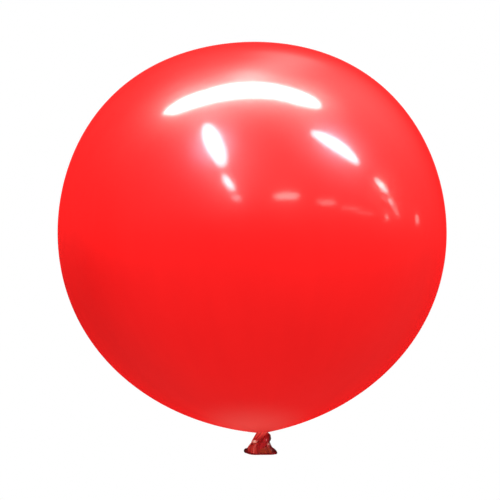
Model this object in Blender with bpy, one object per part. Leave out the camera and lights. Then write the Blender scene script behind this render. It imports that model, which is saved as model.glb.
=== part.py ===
"""Giant round latex balloon, inflated and tied off: envelope, gathered neck, overhand knot, tail and rolled lip.

Metres, +Z up. The origin is the centre of the envelope's widest circle, and the neck points straight down.
"""

import math

import bmesh
import bpy
import numpy as np

# The envelope: a sphere stretched towards its neck by a soft point, with slow waves in its profile.
WIDEST_DIAMETER = 0.914
MEAN_RADIUS = 0.4506
PROFILE_WAVES = {2: -0.0063, 3: 0.0015, 4: -0.0024, 5: 0.0014}
POINT_LENGTH = 0.0316
POINT_SPREAD = math.radians(28.5)
FILM_WALL = 0.001
THROAT_RADIUS = 0.01375
CROWN_PAD_RADIUS = 0.012
ENVELOPE_ROWS = 30
ENVELOPE_ROW_CROWDING = 1.12
ENVELOPE_SEGMENTS = 60

# The neck: the film gathered at the throat, and pressed out over the knot that is drawn up against it.
SEAT_GAP = 0.0003
NECK_INSIDE = 0.003
NECK_DROP = 0.0038
NECK_SKIRT_RADIUS = 0.0152
NECK_SKIRT_HOLLOW = 1.5
NECK_BAND_HEIGHT = 0.0014
NECK_ROUNDING = 0.0009
NECK_ROWS = 5
NECK_SEGMENTS = 24

# The knot: one overhand knot in a thick strand of gathered film, squashed wide and low. Its path is in strand radii.
STRAND_RADIUS = 0.005
STRAND_ROOM = 0.96
KNOT_SQUASH = (1.42, 1.1, 0.7)
KNOT_END = 3.2
KNOT_END_FLARE = 0.4
KNOT_END_FLARE_POINTS = 3
KNOT_TURN = math.radians(245.0)
KNOT_COIL_RADIUS = 2.1
KNOT_COIL_ROUNDNESS = 1.5
KNOT_POINTS = 96
KNOT_TIGHTENINGS = 200

# The tail: the film that fans out below the knot, pressed half flat, with its creases.
TAIL_TOP_HALF_WIDTH = 0.0235
TAIL_TOP_HALF_DEPTH = 0.0090
TAIL_TOP_SHIFT = -0.0048
TAIL_SHOULDER = 0.26
TAIL_SHOULDER_SHARE = 0.07
TAIL_DEPTH = 0.0202
TAIL_BELL = 1.25
TAIL_WALL = 0.0012
TAIL_LEAN = math.radians(4.5)
TAIL_SHIFT = 0.0011
MOUTH_HALF_WIDTH = 0.0355
MOUTH_HALF_DEPTH = 0.0095
MOUTH_CORNER_LIFT = 0.004
CREASES = 9
CREASE_DEPTH = 0.0011
TAIL_SEGMENTS = 54
TAIL_ROWS = 9
TAIL_ROW_CROWDING = 1.5
HOLLOW_START = 0.3

# The lip: the rolled ring that ends the film.
LIP_RADIUS = 0.0023
LIP_SEAT = 0.0005

LATEX_RED = (0.85, 0.012, 0.010)
SLACK_LATEX_RED = (0.36, 0.012, 0.010)
LATEX_ROUGHNESS = 0.22
WELD = 1e-6


def clear_scene():
    for old in list(bpy.data.objects):
        bpy.data.objects.remove(old, do_unlink=True)


def latex(name, colour):
    material = bpy.data.materials.new(name)
    material.use_nodes = True
    shader = material.node_tree.nodes["Principled BSDF"]
    shader.inputs["Base Color"].default_value = (*colour, 1.0)
    shader.inputs["Roughness"].default_value = LATEX_ROUGHNESS
    shader.inputs["Metallic"].default_value = 0.0
    return material


def add_object(name, data, material):
    thing = bpy.data.objects.new(name, data)
    data.materials.append(material)
    bpy.context.scene.collection.objects.link(thing)
    return thing


def mesh_from(name, bm):
    bmesh.ops.recalc_face_normals(bm, faces=bm.faces)
    mesh = bpy.data.meshes.new(name)
    bm.to_mesh(mesh)
    bm.free()
    mesh.shade_smooth()
    mesh.set_sharp_from_angle(angle=math.radians(40.0))
    return mesh


def spun(name, profile, segments, first_angle=0.0):
    """Turns a profile of (radius, height) points about Z; its two ends lie on the axis."""
    bm = bmesh.new()
    ahead, aside = math.cos(first_angle), math.sin(first_angle)
    points = [bm.verts.new((radius * ahead, radius * aside, height)) for radius, height in profile]
    edges = [bm.edges.new(pair) for pair in zip(points, points[1:])]
    bmesh.ops.spin(
        bm,
        geom=points + edges,
        cent=(0.0, 0.0, 0.0),
        axis=(0.0, 0.0, 1.0),
        angle=math.tau,
        steps=segments,
        use_merge=True,
    )
    bmesh.ops.remove_doubles(bm, verts=bm.verts, dist=WELD)
    return mesh_from(name, bm)


def film_distance(angle):
    """The film's distance from the sphere's middle, at an angle from straight down."""
    waves = sum(size * np.cos(count * angle) for count, size in PROFILE_WAVES.items())
    return MEAN_RADIUS + waves + POINT_LENGTH * np.exp(-angle / POINT_SPREAD)


def film_profile(angle):
    """Radius and height of the film, sized and placed by its widest circle."""
    search = np.linspace(0.0, math.pi, 4001)
    reach = film_distance(search) * np.sin(search)
    widest = int(np.argmax(reach))
    scale = 0.5 * WIDEST_DIAMETER / reach[widest]
    middle = film_distance(search[widest]) * math.cos(search[widest]) * scale
    distance = film_distance(angle) * scale
    return distance * np.sin(angle), middle - distance * np.cos(angle)


def angle_at_radius(radius, low, high):
    """The angle between low and high at which the film has a radius, found by halving."""
    rising = film_profile(high)[0] > film_profile(low)[0]
    for _ in range(60):
        middle = 0.5 * (low + high)
        if (film_profile(middle)[0] < radius) == rising:
            low = middle
        else:
            high = middle
    return 0.5 * (low + high)


def film_rows():
    """Outer and inner points of the wall, from the throat's edge up to the crown pad's."""
    start = angle_at_radius(THROAT_RADIUS, 0.001, 0.5)
    end = angle_at_radius(CROWN_PAD_RADIUS, math.pi - 0.5, math.pi - 0.001)
    share = np.linspace(0.0, 1.0, ENVELOPE_ROWS) ** ENVELOPE_ROW_CROWDING
    angle = start + (end - start) * share
    outer = np.stack(film_profile(angle), axis=1)
    step = 1e-4
    along = np.stack(film_profile(angle + step), axis=1) - np.stack(film_profile(angle - step), axis=1)
    along /= np.linalg.norm(along, axis=1)[:, None]
    outward = np.stack([along[:, 1], -along[:, 0]], axis=1)
    return outer, outer - FILM_WALL * outward


def throat_height():
    return float(film_rows()[0][0, 1])


def build_envelope(material):
    outer, inner = film_rows()
    inner[0] = (outer[0, 0], inner[0, 1])
    crown = outer[-1, 1]
    inner[-1, 1] = crown - FILM_WALL
    profile = [(0.0, crown)]
    profile += [tuple(point) for point in outer[::-1]]
    profile += [tuple(point) for point in inner]
    profile += [(0.0, crown - FILM_WALL)]
    return add_object("envelope", spun("envelope", profile, ENVELOPE_SEGMENTS), material)


def build_neck(material):
    """A plug that fills the throat and spreads, in a hollow curve, to a band with one flat to the front."""
    top_radius = THROAT_RADIUS - SEAT_GAP
    throat = throat_height()
    band_top = NECK_DROP - NECK_BAND_HEIGHT - NECK_ROUNDING
    profile = [(0.0, throat + NECK_INSIDE), (top_radius, throat + NECK_INSIDE)]
    for row in range(NECK_ROWS + 1):
        share = row / NECK_ROWS
        radius = top_radius + (NECK_SKIRT_RADIUS - top_radius) * share**NECK_SKIRT_HOLLOW
        profile.append((radius, throat - band_top * share))
    profile.append((NECK_SKIRT_RADIUS, throat - NECK_DROP + NECK_ROUNDING))
    profile.append((NECK_SKIRT_RADIUS - NECK_ROUNDING, throat - NECK_DROP))
    profile.append((0.0, throat - NECK_DROP))
    half_step = math.pi / NECK_SEGMENTS
    return add_object("neck", spun("neck", profile, NECK_SEGMENTS, half_step), material)


def evenly(path, count):
    """The same path with its points at equal distances, and that distance."""
    run = np.concatenate([[0.0], np.cumsum(np.linalg.norm(np.diff(path, axis=0), axis=1))])
    at = np.linspace(0.0, run[-1], count)
    return np.stack([np.interp(at, run, path[:, axis]) for axis in range(3)], axis=1), run[-1] / (count - 1)


def loose_knot():
    """An overhand knot in strand radii: down through its own coil, once and a third round, and down again."""
    half = np.linspace(0.0, 1.0, 80)
    angle = KNOT_TURN * half
    inwards = np.clip((half - 0.62) / 0.38, 0.0, 1.0)
    radius = KNOT_COIL_RADIUS * np.cos(0.5 * math.pi * inwards)
    height = KNOT_COIL_RADIUS * np.sin(math.pi * half) ** KNOT_COIL_ROUNDNESS
    coil = np.stack([radius * np.sin(angle), -radius * np.cos(angle), height], axis=1)
    lead = np.array([[0.0, 0.0, -0.6 * KNOT_END], [0.0, 0.0, -KNOT_END]])
    lower = np.vstack([coil, lead])
    upper = lower[::-1] * np.array([-1.0, 1.0, -1.0])
    return np.vstack([upper[:-1], lower])


def tightened(path):
    """Shortens the strand like a drawn cord, and parts the turns that lie nearer than a strand's width."""
    for _ in range(KNOT_TIGHTENINGS):
        path, step = evenly(path, KNOT_POINTS)
        for _ in range(2):
            path[2:-2] += 0.45 * (0.5 * (path[1:-3] + path[3:-1]) - path[2:-2])
        neighbours = math.ceil(math.pi / step)
        order = np.arange(KNOT_POINTS)
        other_turn = abs(order[:, None] - order[None, :]) >= neighbours
        for _ in range(3):
            between = path[:, None, :] - path[None, :, :]
            distance = np.sqrt((between**2).sum(axis=2)) + 1e-9
            near = other_turn & (distance < 2.0)
            share = np.where(near, 0.25 * (2.0 - distance) / distance, 0.0)
            push = (share[:, :, None] * between).sum(axis=1)
            path[2:-2] += (push / np.sqrt(np.maximum(near.sum(axis=1), 1))[:, None])[2:-2]
    return path


def knot_centre_height():
    """The knot's first end lies a seat's gap under the neck."""
    return throat_height() - NECK_DROP - SEAT_GAP - KNOT_END * STRAND_RADIUS * KNOT_SQUASH[2]


def build_knot(material):
    path = tightened(loose_knot())
    curve = bpy.data.curves.new("knot", "CURVE")
    curve.dimensions = "3D"
    curve.bevel_depth = STRAND_ROOM
    curve.bevel_resolution = 4
    curve.use_fill_caps = True
    spline = curve.splines.new("POLY")
    spline.points.add(len(path) - 1)
    for point, place in zip(spline.points, path):
        point.co = (*place, 1.0)
    for order in range(KNOT_END_FLARE_POINTS):
        flare = 1.0 + KNOT_END_FLARE * (1.0 - order / KNOT_END_FLARE_POINTS) ** 2
        spline.points[order].radius = flare
        spline.points[-1 - order].radius = flare
    knot = add_object("knot", curve, material)
    knot.location = (0.0, 0.0, knot_centre_height())
    knot.scale = [STRAND_RADIUS * stretch for stretch in KNOT_SQUASH]
    return knot


def tail_ring(share, inset):
    """One closed ring of the tail, from its top (share 0) to its mouth (share 1), moved in by inset.

    Below a round shoulder the rings widen like a bell and wave at the creases. They rise at the mouth's two corners,
    and lean more the lower they are.
    """
    bell = 1.0 - (1.0 - share) ** TAIL_BELL
    shoulder = 1.0 - TAIL_SHOULDER * math.exp(-share / TAIL_SHOULDER_SHARE)
    width = shoulder * (TAIL_TOP_HALF_WIDTH + (MOUTH_HALF_WIDTH - TAIL_TOP_HALF_WIDTH) * bell)
    depth = shoulder * (TAIL_TOP_HALF_DEPTH + (MOUTH_HALF_DEPTH - TAIL_TOP_HALF_DEPTH) * bell)
    turn = np.arange(TAIL_SEGMENTS) * math.tau / TAIL_SEGMENTS
    crease = CREASE_DEPTH * bell * np.cos(CREASES * turn) * np.abs(np.sin(turn))
    x = (width - inset + crease) * np.cos(turn)
    y = (depth - inset + crease) * np.sin(turn)
    z = MOUTH_CORNER_LIFT * share**2 * np.cos(turn) ** 4 - TAIL_DEPTH * share
    lean = TAIL_LEAN * share
    leant_x = x * math.cos(lean) + z * math.sin(lean) + TAIL_TOP_SHIFT + TAIL_SHIFT * share
    leant_z = z * math.cos(lean) - x * math.sin(lean)
    return np.stack([leant_x, y, leant_z], axis=1)


def place_tail(thing):
    """The tail's top lies a seat's gap under the knot's last end."""
    drop = KNOT_END * STRAND_RADIUS * KNOT_SQUASH[2] + SEAT_GAP
    thing.location = (0.0, 0.0, knot_centre_height() - drop)


def build_tail(material):
    """A bell of film with a solid top, hollow from a third of its depth down to its open mouth."""
    bm = bmesh.new()
    outside = [tail_ring(share, 0.0) for share in np.linspace(0.0, 1.0, TAIL_ROWS) ** TAIL_ROW_CROWDING]
    inside = [tail_ring(share, TAIL_WALL) for share in np.linspace(HOLLOW_START, 1.0, TAIL_ROWS - 2)]
    rings = [[bm.verts.new(point) for point in ring] for ring in outside + inside[::-1]]
    for upper, lower in zip(rings, rings[1:]):
        for here in range(TAIL_SEGMENTS):
            after = (here + 1) % TAIL_SEGMENTS
            bm.faces.new((upper[here], upper[after], lower[after], lower[here]))
    bm.faces.new(rings[0])
    bm.faces.new(rings[-1])
    tail = add_object("tail", mesh_from("tail", bm), material)
    place_tail(tail)
    return tail


def build_lip(material):
    """A closed bead that follows the mouth's edge, just under it."""
    edge = tail_ring(1.0, 0.5 * TAIL_WALL)
    edge[:, 2] -= LIP_RADIUS + LIP_SEAT
    curve = bpy.data.curves.new("lip", "CURVE")
    curve.dimensions = "3D"
    curve.bevel_depth = LIP_RADIUS
    curve.bevel_resolution = 3
    spline = curve.splines.new("POLY")
    spline.points.add(len(edge) - 1)
    for point, place in zip(spline.points, edge):
        point.co = (*place, 1.0)
    spline.use_cyclic_u = True
    lip = add_object("lip", curve, material)
    place_tail(lip)
    return lip


def main():
    clear_scene()
    stretched = latex("stretched_latex", LATEX_RED)
    slack = latex("slack_latex", SLACK_LATEX_RED)
    build_envelope(stretched)
    build_neck(slack)
    build_knot(slack)
    build_tail(slack)
    build_lip(slack)


main()
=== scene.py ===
"""Looks of the giant round latex balloon: fine surfaces of its pieces, their finishes, and the studio.

Metres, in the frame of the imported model: +Z up, the origin in the middle of the envelope's widest circle,
and the photographed side towards -Y.
"""

import math
import bpy
import numpy as np
from mathutils import Matrix, Vector


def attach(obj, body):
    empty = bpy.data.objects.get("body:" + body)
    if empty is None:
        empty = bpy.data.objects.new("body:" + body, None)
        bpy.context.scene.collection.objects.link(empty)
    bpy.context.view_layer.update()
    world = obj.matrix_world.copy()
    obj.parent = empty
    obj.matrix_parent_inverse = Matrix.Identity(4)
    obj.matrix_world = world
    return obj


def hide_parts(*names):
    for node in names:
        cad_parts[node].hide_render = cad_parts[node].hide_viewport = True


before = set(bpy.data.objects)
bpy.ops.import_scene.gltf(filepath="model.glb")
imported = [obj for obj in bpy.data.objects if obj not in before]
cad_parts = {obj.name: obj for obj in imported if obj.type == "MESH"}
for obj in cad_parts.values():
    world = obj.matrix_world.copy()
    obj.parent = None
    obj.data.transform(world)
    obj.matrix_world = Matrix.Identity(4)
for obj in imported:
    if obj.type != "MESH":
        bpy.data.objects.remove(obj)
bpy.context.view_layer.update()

# The envelope's film: the same outline as the frame's, drawn finer.
WIDEST_DIAMETER = 0.914
MEAN_RADIUS = 0.4506
PROFILE_WAVES = {2: -0.0063, 3: 0.0015, 4: -0.0024, 5: 0.0014}
POINT_LENGTH = 0.0316
POINT_SPREAD = math.radians(28.5)
FILM_WALL = 0.001
THROAT_RADIUS = 0.01375
ENVELOPE_ROWS = 250
ENVELOPE_INNER_ROWS = 80
ENVELOPE_COLUMNS = 256
ROW_CROWDING = 1.3
PROFILE_SAMPLES = 4001
THROAT_SEARCH = (0.001, 0.5)
HALVINGS = 60
ANGLE_STEP = 1e-4

# Gathers: the folds that run from the film above the throat down into the knot.
GATHER_COUNTS = (9, 14, 23)
GATHER_PHASES = (0.7, 2.4, 4.1)
GATHER_SHARES = (0.45, 0.35, 0.2)
THROAT_GATHER = 0.00035
THROAT_GATHER_REACH = 0.016

# The neck's film: it drapes from the throat over the knot, wide on the left and drawn in on the right.
NECK_INSIDE = 0.0028
NECK_TOP_RADIUS = 0.01345
NECK_LENGTH = 0.023
NECK_LEFT_SPREAD = 0.0142
NECK_RIGHT_SPREAD = 0.002
NECK_RIGHT_DRAW = 0.0175
NECK_THINNING = 0.0035
NECK_END = 0.12
NECK_GATHER = 0.0008
NECK_TWIST = 0.5
NECK_ROWS = 120
NECK_ROW_CROWDING = 0.8
NECK_COLUMNS = 320

# The knot's place, its strand, and the loose knot's path, which is in strand radii.
NECK_DROP = 0.0038
SEAT_GAP = 0.0003
STRAND_RADIUS = 0.005
KNOT_SQUASH = (1.42, 1.1, 0.7)
KNOT_END = 3.2
KNOT_END_FLARE = 0.4
KNOT_END_REACH = 0.035
KNOT_TURN = math.radians(245.0)
KNOT_COIL_RADIUS = 2.1
KNOT_COIL_ROUNDNESS = 1.5
KNOT_COIL_POINTS = 80
KNOT_INWARD_START = 0.62
KNOT_LEAD_SHARE = 0.6

# Its tightening: how often, how far a point moves to the middle of its neighbours, and how far turns part.
KNOT_POINTS = 96
KNOT_TIGHTENINGS = 200
KNOT_EASINGS = 2
KNOT_EASING = 0.45
KNOT_PARTINGS = 3
KNOT_PARTING = 0.25
NEVER_ZERO = 1e-9
KNOT_SMOOTHING = 13

# Its look: swollen until its turns press together, folded, twisted, and tilted under the neck's film.
STRAND_SWELL = 1.62
STRAND_SWELL_REACH = 0.12
DRAPED_SQUASH = (1.08, 1.1, 1.12)
DRAPED_SHIFT = (0.0018, 0.0, -0.0089)
KNOT_TILT = math.radians(-12.0)
STRAND_STATIONS = 480
STRAND_COLUMNS = 72
STRAND_FOLDS = {5: 0.055, 8: 0.045, 13: 0.022}
STRAND_FOLD_PHASE = 1.7
STRAND_TWIST = 5.0
TURN_GAP = 0.02
PRESSINGS = 4
PRESSING = 0.5
PRESSING_SKIP = 3

# The tail's film fans out of the knot down to the mouth, and creases run along it.
TAIL_TOP_DROP = 0.0170
TAIL_DEPTH = 0.0315
TAIL_TOP_HALF_WIDTH = 0.0185
MOUTH_HALF_WIDTH = 0.0345
TAIL_TOP_HALF_DEPTH = 0.0085
TAIL_BELLY = 0.0040
MOUTH_HALF_DEPTH = 0.0092
TAIL_SHOULDER = 0.14
TAIL_SHOULDER_CLOSING = 0.96
TAIL_TOP_SHIFT = -0.0035
TAIL_BOW_SHIFT = -0.0025
MOUTH_SHIFT = -0.0048
TAIL_SLOPE = 0.050
LEFT_CORNER_LIFT = 0.0085
RIGHT_CORNER_LIFT = 0.0035
CORNER_SHARPNESS = 6
BACK_LIFT = 0.0170
BACK_LIFT_START = math.radians(-6.0)
BACK_LIFT_END = math.radians(44.0)
BACK_LIFT_FALL = 1.2
BACK_LIFT_SHIFT = -0.0085
TAIL_WALL = 0.0012
CREASES = 9
CREASE_DEPTH = 0.0014
CREASE_TOP = 0.1
CREASE_SPAN = 0.8
CREASE_SHADE = 0.3
FINE_CREASES = (17, 31)
FINE_CREASE_PHASE = 0.9
FINE_CREASE_DEPTH = 0.0006
FINE_CREASE_SHADE = 0.2
TAIL_ROWS = 110
TAIL_INNER_ROWS = 50
TAIL_COLUMNS = 420
HOLLOW_START = 0.55
FILM_INTO_LIP = 0.0012

# The lip: the rolled bead that ends the film, thicker at the left corner and along the raised right side.
LIP_RADIUS = 0.0019
LIP_SEAT = 0.0004
LEFT_CORNER_SWELL = 2.2
LEFT_CORNER_SHARPNESS = 8
RIGHT_SIDE_SWELL = 1.2
RIGHT_SIDE_SHARPNESS = 6
RIGHT_SIDE_TURN = 0.2
LIP_ROLLS = 4
LIP_ROLL_SIDES = 3.0
LIP_ROLL_DEPTH = 0.05
LIP_COLUMNS = 28

# Colours in linear light.
FILM_RED = (0.86, 0.0100, 0.0095)
FILM_DEEP_RED = (0.80, 0.0080, 0.0080)
CROWN_RED = (0.30, 0.0030, 0.0040)
# Pale pink at the throat: partly thinner film, partly painted light reflected from below.
THIN_LIT_PINK = (0.80, 0.065, 0.055)
THIN_LIT_PLACE = (-0.022, -0.07, -0.46)
THIN_LIT_REACH = 0.155
NECK_PINK = (0.92, 0.085, 0.070)
SLACK_RED = (0.48, 0.014, 0.016)
# Used both for random patches of tone and for painted shade in the folds.
SLACK_DEEP_RED = (0.15, 0.003, 0.006)
FAN_LEFT_RED = (0.52, 0.028, 0.021)
# Painted shade at the tail's middle, which lies under the knot's fold.
FAN_SHADED_MIDDLE_RED = (0.38, 0.012, 0.014)
FAN_RIGHT_BROWN = (0.30, 0.030, 0.012)
# Deep painted shade: on the knot's right, along the fan's right edge and under the left fold.
PAINTED_SHADE_RED = (0.08, 0.001, 0.004)
# The colour of painted highlights on folds and crests.
HIGHLIGHT_PINK = (1.0, 0.55, 0.44)
ROLLED_RED = (0.24, 0.005, 0.007)
# At the lip's corners: partly thicker bunched latex, partly painted shade.
ROLLED_THICK_SHADED_RED = (0.04, 0.001, 0.003)
FLOOR_WHITE = (0.75, 0.75, 0.75)
PAPER_WHITE = (1.0, 1.0, 1.0)

# The stretched film: clouds of tone, streaks along the meridians, and the crown's spot of thicker film.
CLOUD_SCALE = 5.0
CLOUD_SHARE = 1.1
STREAK_SCALE = 11.0
STREAK_FLATNESS = 0.35
STREAK_SHARE = 0.7
CROWN_SPOT = (0.034, 0.016)
CROWN_SPOT_HEIGHTS = (0.3, 0.4)
CROWN_SPOT_SHARE = 0.7

# Its pale patch at the throat, partly thinner film and partly painted light from below, which wavers with
# the clouds, and its faint ripple.
THIN_LIT_WAVER = 0.02
THIN_LIT_SHARE = 0.85
THIN_LIT_ROUGHNESS = 0.1
THIN_LIT_COAT_LOSS = 0.35
RIPPLE_SCALE = 26.0
RIPPLE_HEIGHT = 0.0003

# Its rim, seen edge-on: where the gloss begins to go and has gone, and how much of it goes.
SOFT_RIM_BLEND = 0.5
SOFT_RIM = (0.4, 0.9)
SOFT_RIM_SHARE = 0.85
SOFT_RIM_ROUGHNESS = 0.6

# Each film's surface: roughness, its change with the clouds or grain, coat, coat roughness, specular level.
FILM_SURFACE = (0.36, 0.08, 1.0, 0.115, 0.42)
NECK_SURFACE = (0.40, 0.1, 0.4, 0.16, 0.4)
KNOT_SURFACE = (0.38, 0.12, 0.5, 0.14, 0.4)
TAIL_SURFACE = (0.42, 0.12, 0.3, 0.18, 0.35)
LIP_SURFACE = (0.42, 0.1, 0.15, 0.18, 0.3)
LATEX_IOR = 1.5

# The slack film's fine grain and larger patches.
GRAIN_SCALE = 900.0
GRAIN_HEIGHT = 0.00008
PATCH_SCALE = 120.0
LIP_PATCH_SCALE = 160.0
LIP_PATCH_SHARE = 0.5

# The slack film's tones: from where to where each grows, across, in height or by folds, and its share.
NECK_DARKENING = (0.004, -0.020)
# Painted shade in the neck's grooves and lighter paint on its ridges.
NECK_FOLD_SHADE_SHARE = 0.25
# Painted shade in the deepest folds of the neck and knot.
DEEP_FOLD_SHADE = (0.4, 0.0)
DEEP_FOLD_SHADE_SHARE = 0.3
KNOT_RED_SHARE = 0.75
KNOT_PATCH_SHARE = 0.8
# Painted shade on the knot's right side.
KNOT_RIGHT_SHADE = (0.009, 0.018)
KNOT_RIGHT_SHADE_SHARE = 0.95
# Where the painted shade of the tail's middle gives way to the red of its left.
TAIL_LEFT = (-0.006, -0.022)
TAIL_RIGHT = (-0.018, -0.002)
TAIL_LOW = (-0.030, -0.042)
# Painted shade in the tail's creases.
TAIL_CREASE_SHADE = (0.55, 0.15)
TAIL_CREASE_SHADE_SHARE = 0.4
TAIL_PATCH_SHARE = 0.3
# Painted highlights on the crests of the tail's left creases.
TAIL_CREST_HIGHLIGHT = (0.6, 0.95)
TAIL_CREST_HIGHLIGHT_LEFT = (-0.014, -0.022)
TAIL_CREST_HIGHLIGHT_SHARE = 0.12

# Painted highlights on folds, and a painted shadow beneath one: place, reach across and share.
LEFT_PAINTED_HIGHLIGHT = (-0.0180, -0.0060, -0.4912)
LEFT_HIGHLIGHT_REACH = 0.0085
# A painted highlight on the fold at the tail's top right.
RIGHT_PAINTED_HIGHLIGHT = (0.0140, -0.0080, -0.4975)
RIGHT_HIGHLIGHT_REACH = 0.0075
RIGHT_HIGHLIGHT_SHARE = 0.5
# A painted shadow under the left fold.
LEFT_PAINTED_SHADOW = (-0.0240, -0.0040, -0.4965)
LEFT_SHADOW_REACH = 0.0070
LEFT_SHADOW_SHARE = 0.8
SPOT_FLATNESS = 1.7
SPOT_CORE = 0.35

# Painted shade on the fan's right edge, beyond a slanting line.
RIGHT_SHADE_SLANT = 0.33
RIGHT_SHADE_START = 0.0020
RIGHT_SHADE_END = 0.0065
RIGHT_SHADE_SHARE = 0.9

# The camera: low, with the balloon seen from eight degrees below, and rolled a little.
CAMERA_DISTANCE = 6.0
CAMERA_ELEVATION = math.radians(-8.0)
CAMERA_ROLL = math.radians(2.9)
CAMERA_LENS = 183.4
SENSOR_WIDTH = 36.0
FILM_MIDDLE_HEIGHT = 0.0054
AIM_LEFT = 0.0047
AIM_DOWN = 0.0457

# The studio: a wide floor just under the camera, and light panels on a ceiling.
FLOOR_HEIGHT = -0.90
FLOOR_HALF_SIZE = 40.0
FLOOR_FADE_START = 1.2
FLOOR_FADE_END = 4.5
FLOOR_ROUGHNESS = 0.9
CEILING_HEIGHT = 2.6
FILL_SIZE = 120.0
LOW_FILL_LIFT = 0.01
LOW_FILL_BRIGHTNESS = 1.06
HIGH_FILL_BRIGHTNESS = 0.4
HIGH_FILL_HEIGHT = 12.0
BACK_FILL_BRIGHTNESS = 0.68
BACK_FILL_DISTANCE = 50.0
ROOM_LOW_LIGHT = 0.05
ROOM_HIGH_LIGHT = 0.11
ROOM_LOW_EDGE = -0.04
ROOM_HIGH_EDGE = 0.2

# The room's darker side in the reflections: direction, reach, core and how much of the light it takes away.
DARK_SIDE = ((-0.84, 0.45, 0.20), 1.0, 0.3, 0.65)

# The lights' whites.
WARM_WHITE = (1.0, 0.99, 0.95)
COOL_WHITE = (1.0, 0.94, 1.0)
LILAC_WHITE = (1.0, 0.72, 1.15)

# Soft glows of the room in the reflections: direction, reach, brightness and colour.
GLOWS = (
    ((0.03, 0.09, 0.99), 0.20, 2.6, WARM_WHITE),
    ((0.07, 0.19, 0.98), 0.27, 0.9, WARM_WHITE),
    ((0.19, 0.38, 0.90), 0.23, 0.9, WARM_WHITE),
    ((0.18, 0.58, 0.79), 0.22, 1.1, WARM_WHITE),
    ((0.52, -0.02, 0.85), 0.24, 1.2, WARM_WHITE),
    ((-0.32, -0.67, 0.67), 0.28, 4.0, LILAC_WHITE),
    ((0.69, -0.38, 0.62), 0.25, 3.6, LILAC_WHITE),
    ((0.50, 0.36, 0.79), 0.75, 0.40, WARM_WHITE),
    ((0.10, -0.90, 0.42), 0.45, 0.12, WARM_WHITE),
)

# Each panel: name, middle across and along, length, width, turn in degrees, brightness and colour.
PANELS = (
    ("top_bar", 0.0, -0.725, 3.4, 0.65, 0.0, 25.0, WARM_WHITE),
    ("top_bar_left", -1.03, -0.61, 1.64, 0.46, -7.0, 25.0, WARM_WHITE),
    ("top_bar_right", 1.0, -0.74, 1.4, 0.60, 0.0, 25.0, WARM_WHITE),
    ("left_run_near", -1.16, -3.2, 2.9, 0.66, 86.0, 27.0, COOL_WHITE),
    ("left_run_far", -1.50, -7.3, 3.4, 0.47, 90.0, 36.0, COOL_WHITE),
    ("left_run_last", -1.64, -12.3, 3.2, 0.9, 90.0, 11.0, COOL_WHITE),
    ("right_run_near", 3.5, -1.95, 3.1, 0.72, 0.0, 27.0, COOL_WHITE),
    ("right_run_far", 9.4, -1.13, 3.6, 0.52, 9.8, 29.0, WARM_WHITE),
    ("right_run_last", 15.3, -0.5, 3.0, 0.7, 8.0, 18.0, WARM_WHITE),
    ("right_run_end", 28.0, 1.4, 22.0, 1.0, 8.0, 5.0, WARM_WHITE),
    ("far_row_first", 4.45, -11.9, 3.3, 3.4, 0.0, 9.5, WARM_WHITE),
    ("far_row_second", 12.6, -13.0, 3.9, 3.5, 10.0, 6.0, WARM_WHITE),
    ("far_row_third", 22.3, -13.6, 5.5, 6.5, 0.0, 2.8, WARM_WHITE),
    ("far_row_fourth", 35.9, -14.4, 9.0, 9.0, 0.0, 2.4, WARM_WHITE),
)

# Round lamps far to the right: name, place, radius and brightness.
LAMPS = (
    ("far_lamp_near", (19.8, -2.05, 1.1), 0.32, 11.0),
    ("far_lamp_side", (18.5, 7.3, 1.66), 0.45, 6.0),
)


def film_distance(angle):
    """The film's distance from the sphere's middle, at an angle from straight down."""
    waves = sum(size * np.cos(count * angle) for count, size in PROFILE_WAVES.items())
    return MEAN_RADIUS + waves + POINT_LENGTH * np.exp(-angle / POINT_SPREAD)


def film_profile(angle):
    """Radius and height of the film, sized and placed by its widest circle."""
    search = np.linspace(0.0, math.pi, PROFILE_SAMPLES)
    reach = film_distance(search) * np.sin(search)
    widest = int(np.argmax(reach))
    scale = 0.5 * WIDEST_DIAMETER / reach[widest]
    middle = film_distance(search[widest]) * math.cos(search[widest]) * scale
    distance = film_distance(angle) * scale
    return distance * np.sin(angle), middle - distance * np.cos(angle)


def throat_angle():
    """The angle at which the film has the throat's radius, found by halving."""
    low, high = THROAT_SEARCH
    for _ in range(HALVINGS):
        middle = 0.5 * (low + high)
        if film_profile(middle)[0] < THROAT_RADIUS:
            low = middle
        else:
            high = middle
    return 0.5 * (low + high)


THROAT_HEIGHT = float(film_profile(throat_angle())[1])
KNOT_MIDDLE_HEIGHT = THROAT_HEIGHT - NECK_DROP - SEAT_GAP - KNOT_END * STRAND_RADIUS * KNOT_SQUASH[2]


def smooth(share):
    """A smooth step from 0 to 1: three times the square less twice the cube."""
    return share**2 * (3.0 - 2.0 * share)


def gathers(turn):
    """Folds round the neck: three cosines of unlike counts, from -1 in a groove to 1 on a ridge."""
    waves = zip(GATHER_COUNTS, GATHER_PHASES, GATHER_SHARES)
    return sum(share * np.cos(count * turn + phase) for count, phase, share in waves)


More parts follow.
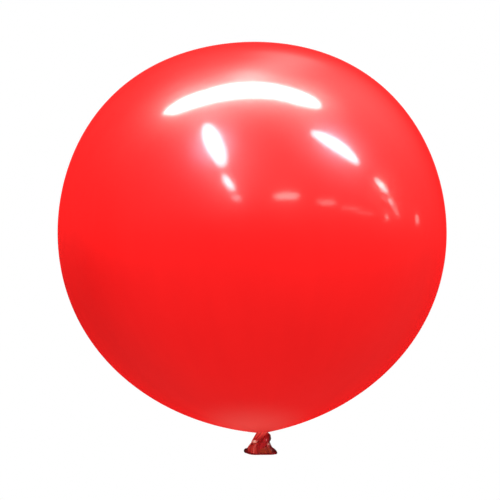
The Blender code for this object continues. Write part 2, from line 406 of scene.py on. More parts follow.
def closed_skin(name, rings, first_pole=None, last_pole=None, joined=False, fold=None):
    """A mesh of four-sided faces between rings of points, each ring closed on itself.

    A pole closes an end with a fan of triangles. With joined, the last ring meets the first one. Where the
    enclosed volume comes out negative, all faces are turned round, so that they point outwards.
    """
    rows, columns = rings.shape[:2]
    points = rings.reshape(-1, 3)
    index = np.arange(rows * columns).reshape(rows, columns)
    after = np.roll(index, -1, axis=1)
    below = np.roll(index, -1, axis=0) if joined else index[1:]
    below_after = np.roll(below, -1, axis=1)
    above = index if joined else index[:-1]
    above_after = after if joined else after[:-1]
    quads = np.stack([above, below, below_after, above_after], axis=-1).reshape(-1, 4)
    fans = []
    for pole, ring, flip in ((first_pole, 0, False), (last_pole, -1, True)):
        if pole is None:
            continue
        centre = np.full(columns, len(points))
        points = np.vstack([points, pole])
        sides = (after[ring], index[ring]) if flip else (index[ring], after[ring])
        fans.append(np.stack([centre, *sides], axis=-1))
    corners = np.concatenate([quads[:, [0, 1, 2]], quads[:, [0, 2, 3]], *fans])
    a, b, c = (points[corners[:, k]] for k in range(3))
    if np.einsum("ij,ij->", a, np.cross(b, c)) < 0.0:
        quads = quads[:, ::-1]
        fans = [fan[:, ::-1] for fan in fans]
    faces = quads.tolist() + [triangle for fan in fans for triangle in fan.tolist()]
    mesh = bpy.data.meshes.new(name)
    mesh.from_pydata(points.tolist(), [], faces)
    mesh.shade_smooth()
    if fold is not None:
        level = np.concatenate([fold.reshape(-1), np.zeros(len(points) - rows * columns)])
        ridge = mesh.attributes.new("ridge", "FLOAT", "POINT")
        ridge.data.foreach_set("value", level.astype(np.float32))
    mesh.update()
    piece = bpy.data.objects.new(name, mesh)
    bpy.context.scene.collection.objects.link(piece)
    return piece


def settle(piece, node, material):
    """Puts a piece in place of its frame node, with its finish."""
    piece.data.materials.append(material)
    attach(piece, "root")
    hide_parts(node)


def make_envelope():
    """The film's outline turned about Z and gathered towards the throat, with an inner wall inside it."""
    turn = np.arange(ENVELOPE_COLUMNS) * math.tau / ENVELOPE_COLUMNS
    start = throat_angle()

    def wall(count, inset):
        share = np.linspace(0.0, 1.0, count + 1)[:-1] ** ROW_CROWDING
        angle = (start + (math.pi - start) * share)[:, None]
        radius, height = film_profile(angle)
        ahead_radius, ahead_height = film_profile(angle + ANGLE_STEP)
        length = np.hypot(ahead_radius - radius, ahead_height - height)
        out, up = (ahead_height - height) / length, -(ahead_radius - radius) / length
        fading = np.exp((THROAT_HEIGHT - height) / THROAT_GATHER_REACH)
        gather = THROAT_GATHER * fading * gathers(turn)
        radius = radius + (gather - inset) * out
        height = height + (gather - inset) * up
        return np.stack([radius * np.cos(turn), radius * np.sin(turn), height + 0.0 * turn], axis=-1)

    outer = wall(ENVELOPE_ROWS, 0.0)
    inner = wall(ENVELOPE_INNER_ROWS, FILM_WALL)
    crown = float(film_profile(math.pi)[1])
    rings = np.concatenate([outer[::-1], inner])
    return closed_skin("balloon_envelope", rings, (0.0, 0.0, crown), (0.0, 0.0, crown - FILM_WALL))


def make_neck():
    """A gathered sleeve of film: its edges, front and back are given as functions of the depth t.

    The left edge goes out evenly. The right edge goes out and is then drawn in with t squared. The front
    and back draw in a little. At the end, the sleeve closes like the end of an egg.
    """
    turn = np.arange(NECK_COLUMNS) * math.tau / NECK_COLUMNS
    rows = np.linspace(0.0, 1.0, NECK_ROWS)[:-1] ** NECK_ROW_CROWDING
    share = np.concatenate([[-NECK_INSIDE / NECK_LENGTH], rows])[:, None]
    below = np.clip(share, 0.0, 1.0)
    past_end = np.clip((below - (1.0 - NECK_END)) / NECK_END, 0.0, 1.0)
    closing = np.sqrt(1.0 - past_end**2)
    left = NECK_TOP_RADIUS + NECK_LEFT_SPREAD * below
    right = NECK_TOP_RADIUS + NECK_RIGHT_SPREAD * below - NECK_RIGHT_DRAW * below**2
    width = 0.5 * (left + right) * closing
    depth = (NECK_TOP_RADIUS - NECK_THINNING * below) * closing
    level = gathers(turn + NECK_TWIST * below)
    fold = (THROAT_GATHER + (NECK_GATHER - THROAT_GATHER) * np.sqrt(below)) * level * closing
    x = 0.5 * (right - left) + (width + fold) * np.cos(turn)
    y = (depth + fold) * np.sin(turn)
    z = THROAT_HEIGHT - NECK_LENGTH * share + 0.0 * turn
    rings = np.stack([x, y, z], axis=-1)
    poles = rings[0].mean(axis=0), rings[-1].mean(axis=0)
    return closed_skin("balloon_neck", rings, *poles, fold=0.5 + 0.5 * level)


def spokes(turn, side, across):
    """Unit vectors round each station of a path, in the plane of its two directions across."""
    return np.cos(turn)[None, :, None] * side[:, None, :] + np.sin(turn)[None, :, None] * across[:, None, :]


def evenly(path, count):
    """The same path with its points at equal distances, and that distance."""
    run = np.concatenate([[0.0], np.cumsum(np.linalg.norm(np.diff(path, axis=0), axis=1))])
    at = np.linspace(0.0, run[-1], count)
    return np.stack([np.interp(at, run, path[:, axis]) for axis in range(3)], axis=1), run[-1] / (count - 1)


def loose_knot():
    """An overhand knot: down through its own coil, once and a third round, and down again.

    Each half starts in front, runs round the coil, turns inwards and ends in a straight lead.
    """
    half = np.linspace(0.0, 1.0, KNOT_COIL_POINTS)
    angle = KNOT_TURN * half
    inwards = np.clip((half - KNOT_INWARD_START) / (1.0 - KNOT_INWARD_START), 0.0, 1.0)
    radius = KNOT_COIL_RADIUS * np.cos(0.5 * math.pi * inwards)
    height = KNOT_COIL_RADIUS * np.sin(math.pi * half) ** KNOT_COIL_ROUNDNESS
    coil = np.stack([radius * np.sin(angle), -radius * np.cos(angle), height], axis=1)
    lead = np.array([[0.0, 0.0, -KNOT_LEAD_SHARE * KNOT_END], [0.0, 0.0, -KNOT_END]])
    lower = np.vstack([coil, lead])
    upper = lower[::-1] * np.array([-1.0, 1.0, -1.0])
    return np.vstack([upper[:-1], lower])


def tightened(path):
    """Shortens the strand like a drawn cord, and parts turns nearer than a strand's width, 2 radii."""
    for _ in range(KNOT_TIGHTENINGS):
        path, step = evenly(path, KNOT_POINTS)
        for _ in range(KNOT_EASINGS):
            path[2:-2] += KNOT_EASING * (0.5 * (path[1:-3] + path[3:-1]) - path[2:-2])
        neighbours = math.ceil(math.pi / step)
        order = np.arange(KNOT_POINTS)
        other_turn = abs(order[:, None] - order[None, :]) >= neighbours
        for _ in range(KNOT_PARTINGS):
            between = path[:, None, :] - path[None, :, :]
            distance = np.sqrt((between**2).sum(axis=2)) + NEVER_ZERO
            near = other_turn & (distance < 2.0)
            share = np.where(near, KNOT_PARTING * (2.0 - distance) / distance, 0.0)
            push = (share[:, :, None] * between).sum(axis=1)
            path[2:-2] += (push / np.sqrt(np.maximum(near.sum(axis=1), 1))[:, None])[2:-2]
    return path


def carried_frames(path):
    """Two directions across a path, square to each other, that don't twist from one point to the next."""
    tangent = np.gradient(path, axis=0)
    tangent /= np.linalg.norm(tangent, axis=1)[:, None]
    side = np.zeros_like(path)
    side[0] = (1.0, 0.0, 0.0)
    for here in range(1, len(path)):
        kept = side[here - 1] - tangent[here] * (side[here - 1] @ tangent[here])
        side[here] = kept / np.linalg.norm(kept)
    return side, np.cross(tangent, side)


def pressed(points, path, reach):
    """Moves points of a swollen strand back to its axis where another turn's axis is as near as its own."""
    order = np.arange(len(path))
    others = path[::PRESSING_SKIP]
    other_turn = abs(order[:, None] - order[None, ::PRESSING_SKIP]) >= reach
    for _ in range(PRESSINGS):
        from_axis = points - path[:, None, :]
        own = np.linalg.norm(from_axis, axis=2)
        to_others = np.linalg.norm(points[:, :, None, :] - others[None, None, :, :], axis=3)
        nearest = np.where(other_turn[:, None, :], to_others, np.inf).min(axis=2)
        over = np.maximum(own + TURN_GAP - nearest, 0.0)
        points = points - (PRESSING * over / own)[:, :, None] * from_axis
    return points


def smoothed(path):
    """The path with a soft moving average along it, and its ends held."""
    weights = np.hanning(KNOT_SMOOTHING)
    weights /= weights.sum()
    held = KNOT_SMOOTHING // 2
    padded = np.concatenate([path[:1].repeat(held, axis=0), path, path[-1:].repeat(held, axis=0)])
    return np.stack([np.convolve(padded[:, axis], weights, "valid") for axis in range(3)], axis=1)


def make_knot():
    """A tube along the tightened knot: folded, twisted, and swollen until its turns press together.

    Scaled to size and tilted about Y, it hangs right of the neck's sleeve, over the top of the tail.
    """
    path, _ = evenly(tightened(loose_knot()), STRAND_STATIONS)
    path, step = evenly(smoothed(path), STRAND_STATIONS)
    side, across = carried_frames(path)
    turn = np.arange(STRAND_COLUMNS) * math.tau / STRAND_COLUMNS
    along = np.linspace(0.0, 1.0, STRAND_STATIONS)[:, None]
    folds = STRAND_FOLDS.items()
    twisted = turn + STRAND_TWIST * along
    fold = sum(size * np.cos(count * twisted + STRAND_FOLD_PHASE * count) for count, size in folds)
    from_end = np.minimum(along, 1.0 - along)
    flare = 1.0 + KNOT_END_FLARE * np.clip(1.0 - from_end / KNOT_END_REACH, 0.0, 1.0) ** 2
    swell = 1.0 + (STRAND_SWELL - 1.0) * np.clip(from_end / STRAND_SWELL_REACH, 0.0, 1.0)
    radius = (swell * flare * (1.0 + fold))[:, :, None]
    points = pressed(path[:, None, :] + radius * spokes(turn, side, across), path, int(math.pi / step))
    scale = STRAND_RADIUS * np.array(DRAPED_SQUASH)
    tilt = np.array(Matrix.Rotation(KNOT_TILT, 3, "Y"))
    middle = np.array([0.0, 0.0, KNOT_MIDDLE_HEIGHT]) + DRAPED_SHIFT
    points = (points * scale) @ tilt.T + middle
    ends = (path[[0, -1]] * scale) @ tilt.T + middle
    level = 0.5 + 0.5 * fold / sum(STRAND_FOLDS.values())
    return closed_skin("balloon_knot", points, ends[0], ends[1], fold=level)


def tail_ring(share, inset, count):
    """Closed rings of the tail, from its top (share 0) to its mouth (share 1), moved in by inset.

    Below a round shoulder the rings widen down to the mouth, bow to the left and outwards between, and wave
    at the creases. At the mouth both corners are lifted, and so is the back of the right side, which folds
    up there. The second result is the height of the creases, from 0 in a fold to 1 on a ridge.
    """
    share = np.atleast_1d(share)[:, None]
    turn = np.arange(count) * math.tau / count
    turn = np.where(turn > math.pi, turn - math.tau, turn)
    above = np.clip(1.0 - share / TAIL_SHOULDER, 0.0, 1.0)
    shoulder = np.sqrt(1.0 - TAIL_SHOULDER_CLOSING * above**2)
    width = shoulder * (TAIL_TOP_HALF_WIDTH + (MOUTH_HALF_WIDTH - TAIL_TOP_HALF_WIDTH) * share)
    depth = TAIL_TOP_HALF_DEPTH + (MOUTH_HALF_DEPTH - TAIL_TOP_HALF_DEPTH) * share
    depth = shoulder * (depth + TAIL_BELLY * np.sin(math.pi * share))
    middle = TAIL_TOP_SHIFT + (MOUTH_SHIFT - TAIL_TOP_SHIFT) * share
    middle = middle + TAIL_BOW_SHIFT * np.sin(math.pi * share)
    waves = [np.cos(number * turn + FINE_CREASE_PHASE * number) for number in FINE_CREASES]
    fine = sum(waves) / len(waves)
    broad = np.cos(CREASES * turn) * np.abs(np.sin(turn))
    crease = CREASE_DEPTH * broad + FINE_CREASE_DEPTH * fine
    crease = crease * np.sin(math.pi * np.clip(CREASE_TOP + CREASE_SPAN * share, 0.0, 1.0))
    rise = np.clip((turn - BACK_LIFT_START) / (BACK_LIFT_END - BACK_LIFT_START), 0.0, 1.0)
    fall = np.clip((math.pi - turn) / BACK_LIFT_FALL, 0.0, 1.0)
    back = smooth(rise) * smooth(fall)
    left = np.clip(-np.cos(turn), 0.0, 1.0) ** CORNER_SHARPNESS
    right = np.clip(np.cos(turn), 0.0, 1.0) ** CORNER_SHARPNESS
    lift = LEFT_CORNER_LIFT * left + RIGHT_CORNER_LIFT * right + BACK_LIFT * back
    x = middle + (width - inset + crease) * np.cos(turn) + BACK_LIFT_SHIFT * back * share**2
    y = (depth - inset + crease) * np.sin(turn) + 0.0 * share
    drop = TAIL_DEPTH * share - lift * share**2 + TAIL_SLOPE * (x - middle) * share
    level = 0.5 + CREASE_SHADE * broad + FINE_CREASE_SHADE * fine + 0.0 * share
    return np.stack([x, y, THROAT_HEIGHT - TAIL_TOP_DROP - drop], axis=-1), level


def make_tail():
    """The tail's film: outer rings down to the lip, then inner rings back up to the hollow's end."""
    outer, outer_level = tail_ring(np.linspace(0.0, 1.0, TAIL_ROWS), 0.0, TAIL_COLUMNS)
    inner, inner_level = tail_ring(np.linspace(1.0, HOLLOW_START, TAIL_INNER_ROWS), TAIL_WALL, TAIL_COLUMNS)
    hem = np.stack([outer[-1], inner[0]])
    hem[:, :, 2] -= FILM_INTO_LIP
    rings = np.concatenate([outer, hem, inner])
    level = np.concatenate([outer_level, outer_level[-1:], inner_level[:1], inner_level])
    poles = rings[0].mean(axis=0), rings[-1].mean(axis=0)
    return closed_skin("balloon_tail", rings, *poles, fold=level)


def make_lip():
    """A bead along the mouth's edge, rolled in a few slow turns, thicker where the lip is folded up."""
    edge = tail_ring(1.0, 0.5 * TAIL_WALL, TAIL_COLUMNS)[0][0]
    edge[:, 2] -= LIP_RADIUS + LIP_SEAT
    ahead = np.roll(edge, -1, axis=0) - np.roll(edge, 1, axis=0)
    ahead /= np.linalg.norm(ahead, axis=1)[:, None]
    side = np.cross(ahead, (0.0, 0.0, 1.0))
    side /= np.linalg.norm(side, axis=1)[:, None]
    rise = np.cross(side, ahead)
    place = np.arange(TAIL_COLUMNS) * math.tau / TAIL_COLUMNS
    turn = np.arange(LIP_COLUMNS) * math.tau / LIP_COLUMNS
    left = np.clip(-np.cos(place), 0.0, 1.0)[:, None] ** LEFT_CORNER_SHARPNESS
    right = np.clip(np.cos(place - RIGHT_SIDE_TURN), 0.0, 1.0)[:, None] ** RIGHT_SIDE_SHARPNESS
    roll = LIP_ROLL_DEPTH * np.cos(LIP_ROLL_SIDES * turn + LIP_ROLLS * place[:, None])
    swell = LEFT_CORNER_SWELL * left + RIGHT_SIDE_SWELL * right
    radius = (LIP_RADIUS * (1.0 + swell + roll))[:, :, None]
    rings = edge[:, None, :] + radius * spokes(turn, side, rise)
    level = 1.0 - np.maximum(left, right) + 0.0 * turn
    return closed_skin("balloon_lip", rings, joined=True, fold=level)


class Value:
    """A shader socket that works in sums: each operator adds a Math node."""

    def __init__(self, finish, socket):
        self.finish = finish
        self.socket = socket

    def maths(self, operation, first, second):
        return self.finish.add("ShaderNodeMath", {"operation": operation}, {0: first, 1: second})

    def __add__(self, other):
        return self.maths("ADD", self, other)

    def __radd__(self, other):
        return self.maths("ADD", other, self)

    def __sub__(self, other):
        return self.maths("SUBTRACT", self, other)

    def __rsub__(self, other):
        return self.maths("SUBTRACT", other, self)

    def __mul__(self, other):
        return self.maths("MULTIPLY", self, other)

    def __rmul__(self, other):
        return self.maths("MULTIPLY", other, self)

    def __truediv__(self, other):
        return self.maths("DIVIDE", self, other)


class Finish:
    """A node tree that is built from expressions."""

    def __init__(self, tree):
        self.tree = tree
        self.tree.nodes.clear()

    def add(self, kind, settings=None, sockets=None, output=0):
        """Adds a node, makes its settings, then gives each named socket its value or its link."""
        node = self.tree.nodes.new(kind)
        for name, value in (settings or {}).items():
            setattr(node, name, value)
        for name, value in (sockets or {}).items():
            if isinstance(value, Value):
                self.tree.links.new(value.socket, node.inputs[name])
            else:
                node.inputs[name].default_value = value
        return Value(self, node.outputs[output]) if node.outputs else None

    def place(self):
        return self.add("ShaderNodeTexCoord", output=3)

    def parts(self, vector):
        """The x, y and z of a vector."""
        first = self.add("ShaderNodeSeparateXYZ", None, {0: vector})
        outputs = first.socket.node.outputs
        return first, Value(self, outputs[1]), Value(self, outputs[2])

    def vector(self, x, y, z):
        return self.add("ShaderNodeCombineXYZ", None, {0: x, 1: y, 2: z})

    def length(self, vector):
        return self.add("ShaderNodeVectorMath", {"operation": "LENGTH"}, {0: vector}, output=1)

    def away(self, vector, point):
        """The distance of a vector from a fixed point."""
        return self.add("ShaderNodeVectorMath", {"operation": "DISTANCE"}, {0: vector, 1: point}, output=1)

    def step(self, value, low, high):
        """A smooth step from 0 at low to 1 at high. With high under low it falls from 1 to 0."""
        ends = (low, high, 0.0, 1.0) if low < high else (high, low, 1.0, 0.0)
        settings = {"interpolation_type": "SMOOTHSTEP"}
        sockets = {0: value, 1: ends[0], 2: ends[1], 3: ends[2], 4: ends[3]}
        return self.add("ShaderNodeMapRange", settings, sockets)

    def noise(self, vector, scale, detail=2.0):
        """Soft noise about 0."""
        noise = self.add("ShaderNodeTexNoise", None, {"Vector": vector, "Scale": scale, "Detail": detail})
        return noise - 0.5

    def blend(self, share, first, second):
        """A colour between two colours."""
        colours = [(*c, 1.0) if isinstance(c, tuple) else c for c in (first, second)]
        settings = {"data_type": "RGBA", "clamp_factor": True}
        return self.add("ShaderNodeMix", settings, {0: share, 6: colours[0], 7: colours[1]}, output=2)

    def attribute(self, name):
        return self.add("ShaderNodeAttribute", {"attribute_name": name}, output=2)

    def bump(self, height, distance):
        return self.add("ShaderNodeBump", None, {"Height": height, "Strength": 1.0, "Distance": distance})


def new_material(name):
    """An empty material and its finish."""
    material = bpy.data.materials.new(name)
    material.use_nodes = True
    return material, Finish(material.node_tree)


def from_throat(heights):
    """Heights above the throat, as heights in the frame."""
    return [THROAT_HEIGHT + height for height in heights]


def finish_latex(finish, colour, roughness, normal, coat, coat_roughness, gloss, soft_rim=False):
    """The latex shader: a body under a clear, glossy skin. With a soft rim, it loses its gloss edge-on."""
    sockets = {
        "Base Color": colour,
        "Roughness": roughness,
        "Normal": normal,
        "Specular IOR Level": gloss,
        "IOR": LATEX_IOR,
        "Coat Weight": coat,
        "Coat Roughness": coat_roughness,
        "Coat IOR": LATEX_IOR,
    }
    shader = finish.add("ShaderNodeBsdfPrincipled", None, sockets)
    if soft_rim:
        body = {"Base Color": colour, "Roughness": SOFT_RIM_ROUGHNESS, "Specular IOR Level": 0.0}
        matt = finish.add("ShaderNodeBsdfPrincipled", None, body)
        facing = finish.add("ShaderNodeLayerWeight", None, {0: SOFT_RIM_BLEND}, output=1)
        share = finish.step(facing, *SOFT_RIM) * SOFT_RIM_SHARE
        shader = finish.add("ShaderNodeMixShader", None, {0: share, 1: shader, 2: matt})
    finish.add("ShaderNodeOutputMaterial", None, {0: shader})


def finish_slack(finish, place, colour, surface):
    """The latex shader of unstretched film, with its fine grain."""
    roughness, grain_share, coat, coat_roughness, gloss = surface
    grain = finish.noise(place, GRAIN_SCALE, detail=3.0)
    normal = finish.bump(grain, GRAIN_HEIGHT)
    finish_latex(finish, colour, roughness + grain * grain_share, normal, coat, coat_roughness, gloss)


def stretched_latex():
    """Thin film: clouds and streaks of tone, a deep spot at the crown, and a pale patch at the throat,
    partly thinner film and partly painted light from below.
    """
    material, finish = new_material("stretched_latex")
    place = finish.place()
    x, y, z = finish.parts(place)
    around = finish.length(finish.vector(x, y, 0.0))
    clouds = finish.noise(place, CLOUD_SCALE, detail=3.0)
    meridian = finish.vector(x / around, y / around, z * STREAK_FLATNESS)
    tone = 0.5 + clouds * CLOUD_SHARE + finish.noise(meridian, STREAK_SCALE) * STREAK_SHARE
    colour = finish.blend(tone, FILM_DEEP_RED, FILM_RED)
    crown = finish.step(around, *CROWN_SPOT) * finish.step(z, *CROWN_SPOT_HEIGHTS)
    colour = finish.blend(crown * CROWN_SPOT_SHARE, colour, CROWN_RED)
    # The pale patch at the throat: partly thinner film, partly painted light reflected from below.
    thin_and_lit = finish.step(finish.away(place, THIN_LIT_PLACE) + clouds * THIN_LIT_WAVER, THIN_LIT_REACH, 0.0)
    colour = finish.blend(thin_and_lit * THIN_LIT_SHARE, colour, THIN_LIT_PINK)
    roughness, cloud_share, coat, coat_roughness, gloss = FILM_SURFACE
    roughness = roughness + clouds * cloud_share + thin_and_lit * THIN_LIT_ROUGHNESS
    coat = coat - thin_and_lit * THIN_LIT_COAT_LOSS
    normal = finish.bump(finish.noise(place, RIPPLE_SCALE, detail=1.0), RIPPLE_HEIGHT)
    finish_latex(finish, colour, roughness, normal, coat, coat_roughness, gloss, soft_rim=True)
    return material


def fold_spot(finish, place, middle, reach):
    """A soft spot, wider than high: 1 near its middle and 0 beyond its reach."""
    x, y, z = finish.parts(place)
    flattened = finish.vector(x, y, z * SPOT_FLATNESS)
    target = (middle[0], middle[1], middle[2] * SPOT_FLATNESS)
    return finish.step(finish.away(flattened, target), reach, SPOT_CORE * reach)


def gathered_latex():
    """The neck's film: like the envelope's at the throat, and darker and thicker towards the knot."""
    material, finish = new_material("gathered_latex")
    place = finish.place()
    _, _, z = finish.parts(place)
    ridge = finish.attribute("ridge")
    depth = finish.step(z, *from_throat(NECK_DARKENING))
    # Painted shade in the gathers' grooves and lighter paint on their ridges.
    colour = finish.blend(depth + (0.5 - ridge) * NECK_FOLD_SHADE_SHARE, NECK_PINK, SLACK_RED)
    # Painted shade in the deepest folds.
    colour = finish.blend(finish.step(ridge, *DEEP_FOLD_SHADE) * DEEP_FOLD_SHADE_SHARE, colour, SLACK_DEEP_RED)
    # A painted highlight on the fold at the lower left.
    colour = finish.blend(fold_spot(finish, place, LEFT_PAINTED_HIGHLIGHT, LEFT_HIGHLIGHT_REACH), colour, HIGHLIGHT_PINK)
    finish_slack(finish, place, colour, NECK_SURFACE)
    return material


def knotted_latex():
    """The knot: opaque, satin, with painted shade in its folds and on its right, and a fine grain."""
    material, finish = new_material("knotted_latex")
    place = finish.place()
    x, _, _ = finish.parts(place)
    ridge = finish.attribute("ridge")
    patches = finish.noise(place, PATCH_SCALE)
    colour = finish.blend(KNOT_RED_SHARE + patches * KNOT_PATCH_SHARE, SLACK_DEEP_RED, SLACK_RED)
    # Painted shade in the deepest folds.
    colour = finish.blend(finish.step(ridge, *DEEP_FOLD_SHADE) * DEEP_FOLD_SHADE_SHARE, colour, SLACK_DEEP_RED)
    # Painted shade on the knot's right side.
    colour = finish.blend(finish.step(x, *KNOT_RIGHT_SHADE) * KNOT_RIGHT_SHADE_SHARE, colour, PAINTED_SHADE_RED)
    finish_slack(finish, place, colour, KNOT_SURFACE)
    return material


def fanned_latex():
    """The tail's film: red on the left, brown low on the right, with painted shade in its creases and at
    its middle.
    """
    material, finish = new_material("fanned_latex")
    place = finish.place()
    x, _, z = finish.parts(place)
    ridge = finish.attribute("ridge")
    # Painted shade in the grooves of the tail's creases, later mixed with random patches of tone.
    creases = finish.step(ridge, *TAIL_CREASE_SHADE) * TAIL_CREASE_SHADE_SHARE
    patches = finish.noise(place, PATCH_SCALE) * TAIL_PATCH_SHARE
    # Painted shade at the tail's middle, fading to red on the left.
    colour = finish.blend(finish.step(x, *TAIL_LEFT), FAN_SHADED_MIDDLE_RED, FAN_LEFT_RED)
    brown = finish.step(x, *TAIL_RIGHT) * finish.step(z, *from_throat(TAIL_LOW))
    colour = finish.blend(brown, colour, FAN_RIGHT_BROWN)
    colour = finish.blend(creases + patches, colour, SLACK_DEEP_RED)
    # Painted shade along the fan's right edge.
    edge = finish.step(x - (THROAT_HEIGHT - z) * RIGHT_SHADE_SLANT, RIGHT_SHADE_START, RIGHT_SHADE_END)
    # A painted shadow under the left fold.
    left_shadow = fold_spot(finish, place, LEFT_PAINTED_SHADOW, LEFT_SHADOW_REACH)
    colour = finish.blend(edge * RIGHT_SHADE_SHARE + left_shadow * LEFT_SHADOW_SHARE, colour, PAINTED_SHADE_RED)
    # Painted highlights on the crests of the left creases.
    crest_highlight = finish.step(ridge, *TAIL_CREST_HIGHLIGHT) * finish.step(x, *TAIL_CREST_HIGHLIGHT_LEFT) * TAIL_CREST_HIGHLIGHT_SHARE
    # A painted highlight on the fold at the left shoulder.
    left_highlight = fold_spot(finish, place, LEFT_PAINTED_HIGHLIGHT, LEFT_HIGHLIGHT_REACH)
    # A painted highlight on the right fold, at part strength.
    right_highlight = fold_spot(finish, place, RIGHT_PAINTED_HIGHLIGHT, RIGHT_HIGHLIGHT_REACH) * RIGHT_HIGHLIGHT_SHARE
    colour = finish.blend(crest_highlight + left_highlight + right_highlight, colour, HIGHLIGHT_PINK)
    finish_slack(finish, place, colour, TAIL_SURFACE)
    return material


def rolled_latex():
    """The bead: many layers of unstretched latex, darkest at the corners, partly where it bunches and
    partly painted shade.
    """
    material, finish = new_material("rolled_latex")
    place = finish.place()
    open_edge = finish.attribute("ridge")
    patches = finish.noise(place, LIP_PATCH_SCALE)
    # Darker towards the corners: partly thicker bunched latex, partly painted shade.
    colour = finish.blend(open_edge + patches * LIP_PATCH_SHARE, ROLLED_THICK_SHADED_RED, ROLLED_RED)
    finish_slack(finish, place, colour, LIP_SURFACE)
    return material


def make_floor():
    """A wide white floor, which only the camera sees, and which fades into the white background far out."""
    half = FLOOR_HALF_SIZE
    corners = [(-half, -half), (half, -half), (half, half), (-half, half)]
    mesh = bpy.data.meshes.new("floor")
    mesh.from_pydata([(x, y, FLOOR_HEIGHT) for x, y in corners], [], [(0, 1, 2, 3)])
    floor = bpy.data.objects.new("floor", mesh)
    bpy.context.scene.collection.objects.link(floor)
    material, finish = new_material("floor_paint")
    paint_sockets = {"Base Color": (*FLOOR_WHITE, 1.0), "Roughness": FLOOR_ROUGHNESS}
    paint = finish.add("ShaderNodeBsdfPrincipled", None, paint_sockets)
    glow = finish.add("ShaderNodeEmission", None, {0: (*PAPER_WHITE, 1.0), 1: 1.0})
    far = finish.step(finish.length(finish.place()), FLOOR_FADE_START, FLOOR_FADE_END)
    shader = finish.add("ShaderNodeMixShader", None, {0: far, 1: paint, 2: glow})
    finish.add("ShaderNodeOutputMaterial", None, {0: shader})
    mesh.materials.append(material)
    floor.visible_glossy = False
    floor.visible_diffuse = False
    floor.visible_shadow = False


def make_panels():
    """Elliptic light panels on the ceiling, which face down and are hidden from the camera."""
    for name, across, along, length, width, turn, brightness, colour in PANELS:
        light = bpy.data.lights.new(name, "AREA")
        light.shape = "ELLIPSE"
        light.size = length
        light.size_y = width
        light.color = colour
        area = length * width * math.pi / 4.0
        light.energy = brightness * area * math.pi
        panel = bpy.data.objects.new(name, light)
        panel.location = (across, along, CEILING_HEIGHT)
        panel.rotation_euler = (0.0, 0.0, math.radians(turn))
        panel.visible_camera = False
        bpy.context.scene.collection.objects.link(panel)


def make_lamps():
    """Round lamps, hidden from the camera."""
    for name, place, radius, brightness in LAMPS:
        light = bpy.data.lights.new(name, "POINT")
        light.shadow_soft_size = radius
        light.energy = brightness * (2.0 * math.pi * radius) ** 2
        light.color = WARM_WHITE
        lamp = bpy.data.objects.new(name, light)
        lamp.location = place
        lamp.visible_camera = False
        bpy.context.scene.collection.objects.link(lamp)


def make_fill(name, place, tilt, brightness):
    """A very wide, even light without gloss, like the light that comes through the film."""
    light = bpy.data.lights.new(name, "AREA")
    light.shape = "SQUARE"
    light.size = FILL_SIZE
    light.energy = brightness * FILL_SIZE**2 * math.pi
    light.cycles.use_multiple_importance_sampling = False
    fill = bpy.data.objects.new(name, light)
    fill.location = place
    fill.rotation_euler = (tilt, 0.0, 0.0)
    fill.visible_camera = False
    fill.visible_glossy = False
    bpy.context.scene.collection.objects.link(fill)


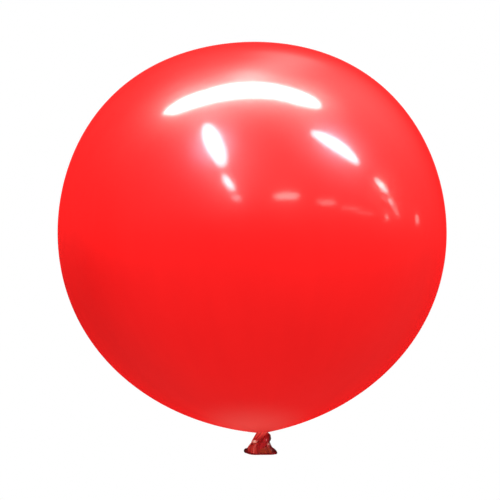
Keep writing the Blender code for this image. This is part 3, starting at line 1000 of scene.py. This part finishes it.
def make_world():
    """White to the camera. To all other rays, a dim room over a darker floor, with a few soft glows."""
    world = bpy.data.worlds.new("studio")
    bpy.context.scene.world = world
    world.use_nodes = True
    finish = Finish(world.node_tree)
    direction = finish.add("ShaderNodeTexCoord", output=0)
    _, _, z = finish.parts(direction)
    height_share = finish.step(z, ROOM_LOW_EDGE, ROOM_HIGH_EDGE)
    room = ROOM_LOW_LIGHT + (ROOM_HIGH_LIGHT - ROOM_LOW_LIGHT) * height_share
    towards, reach, core, share = DARK_SIDE
    room = room * (1.0 - share * finish.step(finish.away(direction, towards), reach, core * reach))
    seen = finish.vector(room, room, room)
    for towards, reach, brightness, colour in GLOWS:
        glow = brightness * finish.step(finish.away(direction, towards), reach, 0.0)
        tinted = finish.add("ShaderNodeVectorMath", {"operation": "SCALE"}, {0: colour, "Scale": glow})
        seen = finish.add("ShaderNodeVectorMath", {"operation": "ADD"}, {0: seen, 1: tinted})
    camera_ray = finish.add("ShaderNodeLightPath")
    background = finish.add("ShaderNodeBackground", None, {0: finish.blend(camera_ray, seen, PAPER_WHITE)})
    finish.add("ShaderNodeOutputWorld", None, {0: background})


def make_camera():
    """A long lens near the floor, turned so that the film's middle is off the picture's centre."""
    middle = Vector((0.0, 0.0, FILM_MIDDLE_HEIGHT))
    forward = Vector((0.0, math.cos(CAMERA_ELEVATION), -math.sin(CAMERA_ELEVATION)))
    level_up = Vector((0.0, math.sin(CAMERA_ELEVATION), math.cos(CAMERA_ELEVATION)))
    level_right = Vector((1.0, 0.0, 0.0))
    up = level_up * math.cos(CAMERA_ROLL) + level_right * math.sin(CAMERA_ROLL)
    right = level_right * math.cos(CAMERA_ROLL) - level_up * math.sin(CAMERA_ROLL)
    place = middle - forward * CAMERA_DISTANCE
    aim = middle - right * AIM_LEFT - up * AIM_DOWN
    back = (place - aim).normalized()
    right = up.cross(back).normalized()
    up = back.cross(right)
    data = bpy.data.cameras.new("camera")
    data.lens = CAMERA_LENS
    data.sensor_width = SENSOR_WIDTH
    camera = bpy.data.objects.new("camera", data)
    camera.matrix_world = Matrix.Translation(place) @ Matrix((right, up, back)).transposed().to_4x4()
    bpy.context.scene.collection.objects.link(camera)
    bpy.context.scene.camera = camera


def main():
    settle(make_envelope(), "envelope", stretched_latex())
    settle(make_neck(), "neck", gathered_latex())
    settle(make_knot(), "knot", knotted_latex())
    settle(make_tail(), "tail", fanned_latex())
    settle(make_lip(), "lip", rolled_latex())
    make_floor()
    make_panels()
    make_lamps()
    make_fill("low_fill", (0.0, 0.0, FLOOR_HEIGHT + LOW_FILL_LIFT), math.pi, LOW_FILL_BRIGHTNESS)
    make_fill("high_fill", (0.0, 0.0, HIGH_FILL_HEIGHT), 0.0, HIGH_FILL_BRIGHTNESS)
    make_fill("back_fill", (0.0, BACK_FILL_DISTANCE, 0.0), -0.5 * math.pi, BACK_FILL_BRIGHTNESS)
    make_world()
    make_camera()
    bpy.context.scene.view_settings.view_transform = "Standard"


main()
